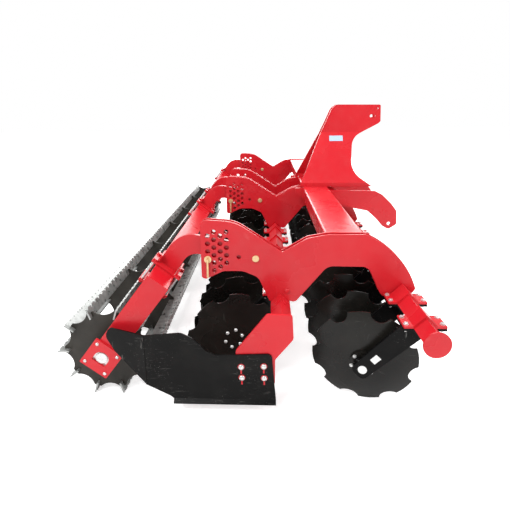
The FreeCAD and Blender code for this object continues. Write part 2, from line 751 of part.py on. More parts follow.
def bearings():
    """Bearing housings on the inner faces of the bearing plates."""
    outer = Part.makeCylinder(size("bearing_radius"), size("bearing_length"), V(0, 0, 0), V(0, -1, 0))
    bore = Part.makeCylinder(size("journal_radius") + size("pin_clearance"), size("bearing_length"),
                             V(0, 0, 0), V(0, -1, 0))
    housing = outer.cut(bore)
    offset = size("side_arm_inner") + size("side_arm_thickness")
    return copies("roller_bearings", housing, [
        at(roller_axis.x, offset, roller_axis.z),
        at(roller_axis.x, -offset + size("bearing_length"), roller_axis.z)])


nodes += [roller_arms(), crossbeam(), side_arms(), bearing_plates(), bearings()]


# ---------------------------------------------------------------- roller

def roller_shaft():
    """Centre tube with its end journals."""
    body = Part.makeCylinder(size("shaft_radius"), 2 * size("ring_span"), V(0, -size("ring_span"), 0), V(0, 1, 0))
    reach = size("side_arm_inner") + size("side_arm_thickness") - 4
    journal = Part.makeCylinder(size("journal_radius"), 2 * reach, V(0, -reach, 0), V(0, 1, 0))
    return copies("roller_shaft", body.fuse(journal).removeSplitter(), [at(roller_axis.x, 0, roller_axis.z)])


bar_inner = size("roller_radius") - size("bar_width")


def star_rings():
    """Star plates with one slotted point for each bar."""
    body = new_body("StarRing")
    outline = circle(0, 0, size("ring_tip_radius")) + circle(0, 0, size("shaft_radius"))
    pad(body, draw(body, "RingDisc", "XZ_Plane", outline), "ring_thickness")
    step = math.radians(180 / size("bar_count"))
    centre = size("scallop_centre")
    scallop = draw(body, "Scallop", "XZ_Plane",
                   circle(centre * math.sin(step), centre * math.cos(step), size("scallop_radius")))
    polar(body, cut_through(body, scallop), "bar_count")
    half = size("bar_thickness") / 2
    seat = draw(body, "BarSeat", "XZ_Plane", rounded([
        (-half, bar_inner), (half, bar_inner), (half, centre), (-half, centre)]))
    polar(body, cut_through(body, seat), "bar_count")
    count = int(size("ring_count"))
    step_y = 2 * (size("ring_span") - size("ring_thickness") / 2) / (count - 1)
    first = -size("ring_span") + size("ring_thickness") / 2
    stance = Rotation(V(0, 1, 0), math.degrees(roller_rest))
    return copies("roller_rings", body.Shape,
                  [at(roller_axis.x, first + index * step_y, roller_axis.z, stance) for index in range(count)])


def toothed_bars():
    """Radial bars with teeth along their outer edges."""
    body = new_body("ToothedBar")
    half = size("roller_half")
    outer = size("roller_radius")
    valley = outer - size("tooth_depth")
    count = int(2 * half // size("tooth_pitch"))
    step = 2 * half / count
    points = [(-half, bar_inner), (half, bar_inner)]
    for index in range(count):
        right = half - index * step
        points += [(right, outer), (right - step * 0.6, outer), (right - step * 0.8, valley)]
    points.append((-half, outer))
    edges = rounded(points)
    pad(body, draw(body, "BarOutline", "YZ_Plane", edges), "bar_thickness")
    turns = [Rotation(V(0, 1, 0), (index + 0.5) * 360 / size("bar_count")) for index in range(int(size("bar_count")))]
    return copies("roller_bars", body.Shape, [at(roller_axis.x, 0, roller_axis.z, turn) for turn in turns])


nodes += [roller_shaft(), star_rings(), toothed_bars()]


# ---------------------------------------------------------------- check and write

doc.recompute()
for item in doc.Objects:
    if "Invalid" in item.State or "Error" in item.State:
        raise RuntimeError("failed object " + item.Name)

os.makedirs("parts", exist_ok=True)
for node in nodes:
    if node.Shape.isNull() or not node.Shape.isValid():
        raise RuntimeError("bad shape " + node.Label)
    node.Shape.exportStep("parts/%s.step" % node.Label)
print("nodes", len(nodes))
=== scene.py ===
# %% [markdown]
# # A mounted disc harrow
# The machine has arched plate frames, two rows of notched discs on angled arms, a three-point
# headstock and a packer roller of toothed bars. The solids come packed from the CAD model, and this
# script dresses them: paint, zinc and bare steel, pressed discs with smooth dishes, and the bolts.

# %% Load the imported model
import json
import math

import bpy
from mathutils import Matrix, Vector


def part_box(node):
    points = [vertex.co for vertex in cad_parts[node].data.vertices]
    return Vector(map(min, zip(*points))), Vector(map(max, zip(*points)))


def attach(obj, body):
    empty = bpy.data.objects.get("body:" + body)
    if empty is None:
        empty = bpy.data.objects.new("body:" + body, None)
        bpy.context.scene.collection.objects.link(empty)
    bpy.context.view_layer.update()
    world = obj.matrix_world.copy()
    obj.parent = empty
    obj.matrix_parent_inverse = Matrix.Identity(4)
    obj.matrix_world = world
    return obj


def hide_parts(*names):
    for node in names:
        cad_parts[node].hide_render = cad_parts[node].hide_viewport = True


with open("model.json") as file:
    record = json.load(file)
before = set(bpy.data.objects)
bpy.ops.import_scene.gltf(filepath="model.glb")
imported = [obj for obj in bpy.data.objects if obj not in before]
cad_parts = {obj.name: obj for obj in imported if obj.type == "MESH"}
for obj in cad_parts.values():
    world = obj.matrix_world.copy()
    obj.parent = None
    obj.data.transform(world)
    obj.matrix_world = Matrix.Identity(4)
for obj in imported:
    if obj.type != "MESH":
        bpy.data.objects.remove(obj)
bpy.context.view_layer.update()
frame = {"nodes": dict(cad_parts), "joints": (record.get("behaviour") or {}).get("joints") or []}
joints = {joint["name"]: joint for joint in frame["joints"]}

# %% [markdown]
# ## Shared effects
# Two effects return in every finish. Sprayed paint has a faint orange-peel skin and a tone that drifts
# slowly over a plate. Parts that have been handled carry fine scratches and a little settled dust. Each
# is a node group with named sockets, so a material only states how strong it is there.

# %% Helpers for node groups
def new_group(name, inputs, outputs):
    """Empty shader group with float inputs {name: default} and outputs {name: socket type}."""
    group = bpy.data.node_groups.new(name, "ShaderNodeTree")
    for label, default in inputs.items():
        socket = group.interface.new_socket(name=label, in_out="INPUT", socket_type="NodeSocketFloat")
        socket.default_value = default
    for label, kind in outputs.items():
        group.interface.new_socket(name=label, in_out="OUTPUT", socket_type=kind)
    return group, group.nodes.new("NodeGroupInput"), group.nodes.new("NodeGroupOutput")


def noise(tree, scale, detail=3.0, stretch=(1.0, 1.0, 1.0)):
    """Noise on Object coordinates; scale is a number or a socket. Returns its Fac socket."""
    coordinates = tree.nodes.new("ShaderNodeTexCoord")
    mapping = tree.nodes.new("ShaderNodeMapping")
    mapping.inputs["Scale"].default_value = stretch
    texture = tree.nodes.new("ShaderNodeTexNoise")
    texture.inputs["Detail"].default_value = detail
    tree.links.new(coordinates.outputs["Object"], mapping.inputs["Vector"])
    tree.links.new(mapping.outputs["Vector"], texture.inputs["Vector"])
    if isinstance(scale, (int, float)):
        texture.inputs["Scale"].default_value = scale
    else:
        tree.links.new(scale, texture.inputs["Scale"])
    return texture.outputs["Fac"]


def math_node(tree, operation, first, second=None, clamp=False):
    node = tree.nodes.new("ShaderNodeMath")
    node.operation = operation
    node.use_clamp = clamp
    for socket, value in zip(node.inputs, (first, second)):
        if value is None:
            continue
        if isinstance(value, (int, float)):
            socket.default_value = value
        else:
            tree.links.new(value, socket)
    return node.outputs[0]


def remap(tree, value, low, high, to_low=0.0, to_high=1.0):
    node = tree.nodes.new("ShaderNodeMapRange")
    for label, amount in (("From Min", low), ("From Max", high), ("To Min", to_low), ("To Max", to_high)):
        if isinstance(amount, (int, float)):
            node.inputs[label].default_value = amount
        else:
            tree.links.new(amount, node.inputs[label])
    tree.links.new(value, node.inputs["Value"])
    return node.outputs["Result"]


def mix_colours(tree, mask, first, second):
    node = tree.nodes.new("ShaderNodeMix")
    node.data_type = "RGBA"
    tree.links.new(mask, node.inputs["Factor"])
    for socket, value in ((node.inputs[6], first), (node.inputs[7], second)):
        if isinstance(value, tuple):
            socket.default_value = (*value, 1.0)
        else:
            tree.links.new(value, socket)
    return node.outputs[2]


# %% Paint film and handling groups
def paint_film_group():
    """Slow tone drift and orange-peel height of sprayed paint."""
    group, entry, leave = new_group(
        "paint_film", {"Peel Scale": 900.0, "Tone Scale": 3.0},
        {"Tone": "NodeSocketFloat", "Height": "NodeSocketFloat"})
    tone = noise(group, entry.outputs["Tone Scale"], 4.0)
    peel = noise(group, entry.outputs["Peel Scale"], 1.0)
    group.links.new(remap(group, tone, 0.3, 0.7), leave.inputs["Tone"])
    group.links.new(peel, leave.inputs["Height"])
    return group


def handling_group():
    """Masks of fine scratches and of settled dust."""
    group, entry, leave = new_group(
        "handling", {"Scratch Amount": 0.3, "Dust Amount": 0.3},
        {"Scratches": "NodeSocketFloat", "Dust": "NodeSocketFloat"})
    marks = None
    for stretch in ((2.0, 60.0, 3.0), (40.0, 2.0, 60.0), (3.0, 3.0, 90.0)):
        streak = remap(group, noise(group, 4.0, 6.0, stretch), 0.66, 0.74)
        marks = streak if marks is None else math_node(group, "MAXIMUM", marks, streak)
    patches = remap(group, noise(group, 5.0, 2.0), 0.45, 0.62)
    marks = math_node(group, "MULTIPLY", marks, patches)
    group.links.new(math_node(group, "MULTIPLY", marks, entry.outputs["Scratch Amount"], True),
                    leave.inputs["Scratches"])
    settled = remap(group, noise(group, 11.0, 8.0), 0.42, 0.75)
    group.links.new(math_node(group, "MULTIPLY", settled, entry.outputs["Dust Amount"], True),
                    leave.inputs["Dust"])
    return group


paint_film = paint_film_group()
handling = handling_group()

# %% [markdown]
# ## Finishes
# The frame is powder-coated in a glossy red, the tillage parts in a satin black that shows pale scuffs,
# the roller bars are galvanized, and pins are zinc-plated yellow.

# %% Materials
def group_node(tree, group, **values):
    node = tree.nodes.new("ShaderNodeGroup")
    node.node_tree = group
    for label, value in values.items():
        node.inputs[label.replace("_", " ")].default_value = value
    return node


# Clear coat's roughness, bump distance of the skin in metres, and how far dust roughens a surface
coat_roughness, skin_distance, dust_roughening = 0.08, 0.002, 0.5


def finish_material(name, colour, deep, scuff, roughness, spread=0.12, metallic=0.0, coat=0.0, peel=0.02,
                    scratch=0.3, dust=0.25, dust_colour=(0.35, 0.32, 0.29), tone_scale=3.0, peel_scale=900.0,
                    shine=0.5):
    """Painted or plated finish: two tones, scuffs, dust, roughness that varies with them, and a skin."""
    material = bpy.data.materials.new(name)
    material.use_nodes = True
    tree = material.node_tree
    shader = tree.nodes["Principled BSDF"]
    film = group_node(tree, paint_film, Tone_Scale=tone_scale, Peel_Scale=peel_scale)
    hands = group_node(tree, handling, Scratch_Amount=scratch, Dust_Amount=dust)
    tone = mix_colours(tree, film.outputs["Tone"], deep, colour)
    dusty = mix_colours(tree, hands.outputs["Dust"], tone, dust_colour)
    worn = mix_colours(tree, hands.outputs["Scratches"], dusty, scuff)
    tree.links.new(worn, shader.inputs["Base Color"])
    rough = remap(tree, film.outputs["Tone"], 0.0, 1.0, roughness - spread / 2, roughness + spread / 2)
    dulled = math_node(tree, "MULTIPLY", hands.outputs["Dust"], dust_roughening)
    rough = math_node(tree, "ADD", rough, dulled, True)
    tree.links.new(rough, shader.inputs["Roughness"])
    shader.inputs["Metallic"].default_value = metallic
    shader.inputs["Specular IOR Level"].default_value = shine
    shader.inputs["Coat Weight"].default_value = coat
    shader.inputs["Coat Roughness"].default_value = coat_roughness
    bump = tree.nodes.new("ShaderNodeBump")
    bump.inputs["Strength"].default_value = peel
    bump.inputs["Distance"].default_value = skin_distance
    tree.links.new(film.outputs["Height"], bump.inputs["Height"])
    tree.links.new(bump.outputs["Normal"], shader.inputs["Normal"])
    return material


red = finish_material(
    "red_powder_coat", (0.60, 0.012, 0.020), (0.52, 0.008, 0.016), (0.72, 0.18, 0.16), 0.28,
    coat=0.05, scratch=0.25, dust=0.03, shine=0.36)
# The discs' black is lighter and warmer than the arms' black, though both are the same paint: the lift is
# painted sheen standing in for soft warm highlights on the dishes.
black = finish_material(
    "black_paint", (0.0125, 0.0112, 0.0092), (0.0045, 0.0042, 0.0038), (0.12, 0.12, 0.11), 0.22,
    scratch=0.35, dust=0.012, peel=0.05, shine=0.24, tone_scale=4.5)
scuffed_black = finish_material(
    "scuffed_black_paint", (0.0045, 0.0043, 0.0042), (0.0028, 0.0027, 0.0026), (0.20, 0.19, 0.18), 0.30,
    scratch=0.9, dust=0.012, peel=0.05, shine=0.12)
arm_black = finish_material(
    "arm_paint", (0.0040, 0.0039, 0.0040), (0.0026, 0.0025, 0.0026), (0.18, 0.18, 0.17), 0.24,
    scratch=0.9, dust=0.01, peel=0.05, shine=0.10)
ring_black = finish_material(
    "ring_paint", (0.030, 0.026, 0.020), (0.018, 0.016, 0.013), (0.12, 0.11, 0.10), 0.42,
    scratch=0.4, dust=0.04, peel=0.05, shine=0.3)
galvanized = finish_material(
    "galvanized_bar", (0.52, 0.53, 0.52), (0.27, 0.28, 0.27), (0.80, 0.81, 0.81), 0.34,
    spread=0.25, metallic=0.65, scratch=0.6, dust=0.03, tone_scale=28.0)
zinc = finish_material(
    "bright_zinc", (0.78, 0.78, 0.77), (0.62, 0.62, 0.61), (0.9, 0.9, 0.9), 0.28,
    metallic=0.7, scratch=0.3, dust=0.02, tone_scale=40.0)
yellow_zinc = finish_material(
    "yellow_zinc", (0.82, 0.62, 0.34), (0.68, 0.46, 0.24), (0.85, 0.75, 0.5), 0.32,
    metallic=0.55, scratch=0.3, dust=0.04, tone_scale=35.0)
pale_label = finish_material(
    "blank_label", (0.80, 0.80, 0.79), (0.72, 0.72, 0.71), (0.6, 0.6, 0.6), 0.45,
    scratch=0.1, dust=0.03, peel=0.0)
blue_plate = finish_material(
    "blank_type_plate", (0.46, 0.60, 0.78), (0.38, 0.52, 0.72), (0.6, 0.6, 0.6), 0.40,
    scratch=0.1, dust=0.03, peel=0.0)

# %% Finishes of the CAD pieces
node_finish = {"front_arms": arm_black, "rear_arms": arm_black, "side_deflector": scuffed_black,
               "roller_shaft": black, "roller_rings": ring_black, "roller_bars": galvanized,
               "pivot_pins": yellow_zinc, "depth_pins": yellow_zinc, "roller_bearings": zinc}
for name, node in frame["nodes"].items():
    finish = node_finish.get(name, black if name.startswith("disc_") else red)
    node.data.materials.clear()
    node.data.materials.append(finish)
print("finished", len(frame["nodes"]), "solids")

# %% [markdown]
# ## Making and placing pieces
# A fastener is modelled once at the origin and copied to its places, with every copy's vertices moved so
# that the finished object itself stays at the origin. Lengths are in metres unless a comment says otherwise.

# %% Helpers for pieces
def clear_selection():
    if bpy.context.object and bpy.context.object.mode != "OBJECT":
        bpy.ops.object.mode_set(mode="OBJECT")
    bpy.ops.object.select_all(action="DESELECT")


def only(piece):
    clear_selection()
    piece.select_set(True)
    bpy.context.view_layer.objects.active = piece


def apply_modifiers(piece):
    only(piece)
    for modifier in list(piece.modifiers):
        bpy.ops.object.modifier_apply(modifier=modifier.name)


def settle(piece):
    """Object transform into the mesh."""
    only(piece)
    bpy.ops.object.transform_apply(location=True, rotation=True, scale=True)


def break_edges(piece, width, segments=2):
    """Small bevel along the sharp edges."""
    edge = piece.modifiers.new("edge", "BEVEL")
    edge.width = width
    edge.segments = segments
    edge.limit_method = "ANGLE"
    apply_modifiers(piece)


def joined(pieces):
    """All the pieces as one object, which is the first of them."""
    clear_selection()
    for piece in pieces:
        piece.select_set(True)
    bpy.context.view_layer.objects.active = pieces[0]
    if len(pieces) > 1:
        bpy.ops.object.join()
    return bpy.context.view_layer.objects.active


def joined_copies(master, places):
    """One new object made of copies of the master's mesh at each matrix."""
    made = []
    for place in places:
        mesh = master.data.copy()
        mesh.transform(place)
        copy = bpy.data.objects.new(master.name + "_copy", mesh)
        bpy.context.collection.objects.link(copy)
        made.append(copy)
    return joined(made)


def discard(*objects):
    for item in objects:
        bpy.data.objects.remove(item, do_unlink=True)


def hand_over(piece, name, body, finish):
    """Name, finish and body of a finished piece."""
    piece.name = name
    piece.data.name = name
    piece.data.materials.clear()
    piece.data.materials.append(finish)
    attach(piece, body)
    return piece


def facing(point, direction, turn=0.0):
    """Matrix that stands a piece modelled along +Z on a point, along a direction."""
    turned = Vector(direction).to_track_quat("Z", "Y").to_matrix().to_4x4()
    return Matrix.Translation(point) @ turned @ Matrix.Rotation(turn, 4, "Z")


def cylinder(vertices, radius, height, base=0.0):
    """Cylinder on the Z axis, with its foot at a height."""
    clear_selection()
    bpy.ops.mesh.primitive_cylinder_add(vertices=vertices, radius=radius, depth=height,
                                        location=(0, 0, base + height / 2))
    piece = bpy.context.object
    settle(piece)
    return piece


def round_plate(radius, thickness, place, vertices=40, bevel=0.0):
    """Flat cylinder standing on a matrix's origin along its Z."""
    disc = cylinder(vertices, radius, thickness)
    if bevel:
        break_edges(disc, bevel)
    disc.data.transform(place)
    return disc


def plate_box(size, place, bevel=0.0):
    """Box of the given size, centred on a matrix's origin."""
    clear_selection()
    bpy.ops.mesh.primitive_cube_add(size=1.0, location=(0, 0, 0))
    box = bpy.context.object
    box.scale = size
    settle(box)
    if bevel:
        break_edges(box, bevel)
    box.data.transform(place)
    return box


# %% [markdown]
# ## Bolts
# Three heads are used: a hexagon head on a washer for frame joints, a nut with its stud end for the back
# of such joints, and a low round head for plough bolts on discs and wear plates. Each master has a foot of
# radius 1, so that one number scales it to its size.

# %% Bolt masters
washer_height, hexagon_radius, hexagon_height, hexagon_chamfer = 0.16, 0.86, 0.55, 0.07
stud_radius, stud_height = 0.48, 0.30
round_height = 0.30
crown_steps = ((0.22, 0.84), (0.16, 0.62), (0.06, 0.5))  # rise and shrink of each step up to the crown


def hexagon_bolt():
    """Hexagon head on a washer."""
    washer = cylinder(24, 1.0, washer_height)
    head = cylinder(6, hexagon_radius, hexagon_height, washer_height)
    break_edges(head, hexagon_chamfer, 1)
    bolt = joined([washer, head])
    bolt.name = "hexagon_bolt"
    return bolt


def nut_and_stud():
    """Nut on a washer, with its stud end."""
    bolt = hexagon_bolt()
    bolt = joined([bolt, cylinder(12, stud_radius, stud_height, washer_height + hexagon_height)])
    bolt.name = "nut_and_stud"
    return bolt


def round_bolt():
    """Low round head, drawn in by steps to its crown."""
    head = cylinder(20, 1.0, round_height)
    bpy.ops.object.mode_set(mode="EDIT")
    bpy.ops.mesh.select_all(action="DESELECT")
    bpy.ops.object.mode_set(mode="OBJECT")
    for face in head.data.polygons:
        face.select = face.normal.z > 0.9
    bpy.ops.object.mode_set(mode="EDIT")
    for rise, shrink in crown_steps:
        bpy.ops.mesh.extrude_region_move(TRANSFORM_OT_translate={"value": (0, 0, rise)})
        bpy.ops.transform.resize(value=(shrink, shrink, 1.0))
    bpy.ops.object.mode_set(mode="OBJECT")
    bpy.ops.object.shade_smooth_by_angle(angle=math.radians(50))
    head.name = "round_bolt"
    return head


hexagon = hexagon_bolt()
nut = nut_and_stud()
rounded_head = round_bolt()

sink = 0.0002  # how deep a bolt's foot lies in the surface that it stands on
turn_step, turns = 17.0, 7  # each head is turned this many degrees on from the last, over a cycle of seven


def bolt_set(name, master, radius, spots, body, finish):
    """One piece of many bolts; spots are (point, direction)."""
    places = []
    for index, (point, direction) in enumerate(spots):
        turn = math.radians(turn_step * (index % turns))
        places.append(facing(point, direction, turn) @ Matrix.Scale(radius, 4))
    piece = joined_copies(master, places)
    return hand_over(piece, name, body, finish)


# %% [markdown]
# ## Discs
# A disc is pressed from one sheet: a flat centre, a spherical dish and notches bitten out of the rim. The
# solid only has two cones for its dish, so each disc is remade here as a smooth shell: half its section is
# spun round the axis, and eight cutters take the notches.

# %% One disc
per_row = 16
rim, flat, depth, sheet = 0.255, 0.075, 0.044, 0.006
hub_radius, hub_thickness = 0.066, 0.016
bore = 0.018 + 0.00005  # spindle and its running clearance
dish_steps, spin_steps, cutter_sides = 7, 64, 40
notches, notch_radius, notch_circle = 8, 0.050, 0.270
cutter_height, cutter_middle = 0.08, -0.01
disc_bolts, disc_bolt_radius = 6, 0.0095
plough_circle, plough_sink, nut_circle = 0.047, 0.0004, 0.0562
focus = (rim ** 2 - flat ** 2 - depth ** 2) / (2 * depth)
dish = math.hypot(rim, focus)


def dish_line(radius):
    """Points of the dish's section at a sphere radius, from the flat to the rim."""
    points = []
    for step in range(dish_steps + 1):
        out = flat + (rim - flat) * step / dish_steps
        points.append((out, 0.0, focus - math.sqrt(radius ** 2 - out ** 2)))
    return points


def notched_disc():
    """Disc with its hub flange, round Z, with its hollow face up and a notch at +X."""
    back = -depth - sheet
    section = [(0.0, 0.0, -depth)] + dish_line(dish)
    section += list(reversed(dish_line(dish + sheet)))
    section[-1] = (flat, 0.0, back)
    section += [(hub_radius, 0.0, back), (hub_radius, 0.0, back - hub_thickness),
                (bore, 0.0, back - hub_thickness), (bore, 0.0, back), (0.0, 0.0, back)]
    mesh = bpy.data.meshes.new("disc_section")
    edges = [(index, index + 1) for index in range(len(section) - 1)]
    mesh.from_pydata(section, edges, [])
    disc = bpy.data.objects.new("notched_disc", mesh)
    bpy.context.collection.objects.link(disc)
    only(disc)
    bpy.ops.object.mode_set(mode="EDIT")
    bpy.ops.mesh.select_all(action="SELECT")
    bpy.ops.mesh.spin(steps=spin_steps, angle=math.tau, center=(0, 0, 0), axis=(0, 0, 1))
    bpy.ops.mesh.select_all(action="SELECT")
    bpy.ops.mesh.remove_doubles(threshold=0.00002)
    bpy.ops.mesh.normals_make_consistent(inside=False)
    bpy.ops.object.mode_set(mode="OBJECT")
    cutters = []
    for index in range(notches):
        angle = math.tau * index / notches
        clear_selection()
        bpy.ops.mesh.primitive_cylinder_add(
            vertices=cutter_sides, radius=notch_radius, depth=cutter_height,
            location=(notch_circle * math.cos(angle), notch_circle * math.sin(angle), cutter_middle))
        cutters.append(bpy.context.object)
    cutter = joined(cutters)
    notch = disc.modifiers.new("notches", "BOOLEAN")
    notch.operation = "DIFFERENCE"
    notch.solver = "EXACT"
    notch.object = cutter
    apply_modifiers(disc)
    discard(cutter)
    only(disc)
    bpy.ops.object.shade_smooth_by_angle(angle=math.radians(25))
    return disc


disc_master = notched_disc()
print("disc faces", len(disc_master.data.polygons))


def disc_place(joint, index):
    """Matrix from the disc's own axes to its row; each disc is turned a few degrees its own way."""
    axis = Vector(joint["axis"]).normalized()
    up = (Vector((0, 0, 1)) - axis * axis.z).normalized()
    side = axis.cross(up)
    half_notch = 180 / notches
    turn = math.radians(half_notch + 2 * ((5 * index) % 9 - 4))
    stance = Matrix((side, axis, up)).transposed().to_4x4()
    spun = stance @ Matrix.Rotation(turn, 4, "Y")
    lay = Matrix(((0, 1, 0), (0, 0, 1), (1, 0, 0))).to_4x4()
    return Matrix.Translation(joint["pos_m"]) @ spun @ lay


def disc_bolt_places(place, radius, height, direction, phase):
    """Matrices of the bolts on a circle round a disc's axis."""
    places = []
    for step in range(disc_bolts):
        angle = math.tau * (step + phase) / disc_bolts
        point = Vector((radius * math.cos(angle), radius * math.sin(angle), height))
        places.append(place @ facing(point, direction) @ Matrix.Scale(disc_bolt_radius, 4))
    return places


# %% Thirty-two discs with their plough bolts
for row in ("front", "rear"):
    for index in range(per_row):
        body = "disc_%s_%02d" % (row, index + 1)
        place = disc_place(joints[body + "_spin"], index)
        shell = joined_copies(disc_master, [place])
        # The pressed discs take the lighter black, whose lift over the arms' black is painted sheen.
        hand_over(shell, "pressed_" + body, body, black)
        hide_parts(body)
        spots = disc_bolt_places(place, plough_circle, -depth - plough_sink, (0, 0, 1), 0.5)
        heads = joined_copies(rounded_head, spots)
        hand_over(heads, "plough_bolts_" + body, body, zinc)
        spots = disc_bolt_places(place, nut_circle, -depth - sheet - hub_thickness + sink, (0, 0, -1), 0.0)
        nuts = joined_copies(hexagon, spots)
        hand_over(nuts, "hub_nuts_" + body, body, zinc)
discard(disc_master)

# %% [markdown]
# ## Bolts of the disc arms
# Each arm is held by two clamp halves round the tube, bolted through their flanges in front of the tube and
# behind it, with nuts below. A row's discs face one side, and its arms trail behind the tube.

# %% Clamp bolts
pitch = 0.250
gang, lean = math.radians(15), math.radians(8)
hub_gap, boss_length, half_arm = 0.005, 0.014, 0.012
rim_to_arm = depth + sheet + hub_thickness + hub_gap + boss_length + half_arm
rows = {"front": {"side": 1, "trail": 0.205, "x": 0.706, "z": 0.510},
        "rear": {"side": -1, "trail": 0.235, "x": 0.092, "z": 0.466}}
flange_face, bolt_fore, bolt_across, clamp_bolt_radius = 0.0110, 0.078, 0.033, 0.0115


def clamp_y(row, index):
    """Y of an arm's clamp: beside its disc, with the two rows half a pitch apart."""
    first = -(per_row - 1) / 2 * pitch - row["side"] * pitch / 4
    offset = rim_to_arm * math.cos(lean) / math.cos(gang) + row["trail"] * math.tan(gang)
    return first + index * pitch - row["side"] * offset


for name, row in rows.items():
    tops, bottoms = [], []
    for index in range(per_row):
        for fore in (-1, 1):
            for across in (-1, 1):
                x, y = row["x"] + fore * bolt_fore, clamp_y(row, index) + across * bolt_across
                tops.append(((x, y, row["z"] + flange_face), (0, 0, 1)))
                bottoms.append(((x, y, row["z"] - flange_face), (0, 0, -1)))
    bolt_set(name + "_clamp_bolts", hexagon, clamp_bolt_radius, tops, "frame", zinc)
    bolt_set(name + "_clamp_nuts", nut, clamp_bolt_radius, bottoms, "frame", zinc)

# %% [markdown]
# ## Blank labels on the front arms
# The arms carry a round sticker at the hub and a small square one above it. Both are left blank. They are
# thin sheets laid on the arm's outer face, which is turned with the disc row.

# %% Labels
disc_centre = 0.25267
round_label, round_sheet = 0.021, 0.0006
square_label, square_up = (0.042, 0.030, 0.0008), 0.085
label_gap = 0.0001
front = rows["front"]
axis_x = math.sin(gang) * math.cos(lean)
root_x = -front["trail"] - axis_x * rim_to_arm
root_y = (front["trail"] + axis_x * rim_to_arm) * math.tan(gang)
root_z = -(front["z"] - disc_centre) - math.sin(lean) * rim_to_arm
level = math.hypot(root_x, root_y)
tube_to_hub = Vector((-level * math.cos(gang), level * math.sin(gang), root_z))
downhill = tube_to_hub.normalized()
outward = Vector((-math.sin(gang), -math.cos(gang), 0.0))
face = outward * (half_arm + label_gap)
stand = Matrix((downhill, outward.cross(downhill), outward)).transposed().to_4x4()
labels = []
for index in range(per_row):
    hub = Vector((front["x"], clamp_y(front, index), front["z"])) + tube_to_hub
    labels.append(round_plate(round_label, round_sheet, Matrix.Translation(hub + face) @ stand))
    middle = hub - downhill * square_up + face
    labels.append(plate_box(square_label, Matrix.Translation(middle) @ stand))
hand_over(joined(labels), "arm_labels", "frame", pale_label)

# %% [markdown]
# ## Bolts of the deflector and the plates
# The wear plate hangs on four round-headed bolts, each in the round end of a keyhole, so that it can be set
# lower as it wears. The plates carry one bolt in each lobe.

# %% Deflector and plate bolts
deflector_face = -2.048
keyhole_spots = ((-0.100, 0.249), (-0.097, 0.191), (0.008, 0.253), (0.010, 0.190))
keyhole_radius, keyhole_sheet, keyhole_gap = 0.0165, 0.0004, 0.0001
slot_size, slot_drop = (0.007, 0.0006, 0.030), 0.022
deflector_bolt_radius = 0.0135
lobe_x, lobe_z, lobe_bolt_radius = 0.127, 0.529, 0.013
keyholes = []
for x, z in keyhole_spots:
    stance = facing((x, deflector_face + keyhole_gap, z), (0, -1, 0))
    keyholes.append(round_plate(keyhole_radius, keyhole_sheet, stance, vertices=28))
    keyholes.append(plate_box(slot_size, Matrix.Translation((x, deflector_face, z - slot_drop))))
hand_over(joined(keyholes), "deflector_keyholes", "frame", red)
bolt_set("deflector_bolts", rounded_head, deflector_bolt_radius,
         [((x, deflector_face - keyhole_sheet, z), (0, -1, 0)) for x, z in keyhole_spots],
         "frame", zinc)
outer_low, outer_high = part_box("frame_plates_outer")
lobe_spots = [((lobe_x, outer_low[1] + sink, lobe_z), (0, -1, 0)),
              ((lobe_x, outer_high[1] - sink, lobe_z), (0, 1, 0))]
bolt_set("plate_lobe_bolts", hexagon, lobe_bolt_radius, lobe_spots, "frame", red)

# %% [markdown]
# ## Roller bearings
# Four bolts hold each square bearing plate, and the window in it shows the bearing's pale end cover.

# %% Bearing bolts and covers
slope = math.radians(37.5)
bearing_x, bearing_z = -0.806, 0.239
bolt_reach, bearing_bolt_radius = 0.059, 0.0085
cover_start, cover_radius, cover_height, cover_bevel = 1.9648, 0.030, 0.008, 0.002
plate_low, plate_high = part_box("roller_bearing_plates")
spots, covers = [], []
for side, surface in ((-1, plate_low[1]), (1, plate_high[1])):
    for u, v in ((-1, -1), (-1, 1), (1, -1), (1, 1)):
        x = bearing_x + bolt_reach * (u * math.cos(slope) + v * math.sin(slope))
        z = bearing_z + bolt_reach * (-u * math.sin(slope) + v * math.cos(slope))
        spots.append(((x, surface - side * sink, z), (0, side, 0)))
    cover_place = facing((bearing_x, side * cover_start, bearing_z), (0, side, 0))
    covers.append(round_plate(cover_radius, cover_height, cover_place, vertices=48, bevel=cover_bevel))
bolt_set("bearing_plate_bolts", rounded_head, bearing_bolt_radius, spots, "roller_frame", zinc)
hand_over(joined(covers), "bearing_covers", "roller_frame", zinc)

# %% [markdown]
# ## Flange clamps of the roller arms
# Each roller arm ends in a flange on the crossbeam. A second plate lies under the beam, and four long bolts
# outside the beam draw the two together; ribs stiffen the flange on both sides of the arm.

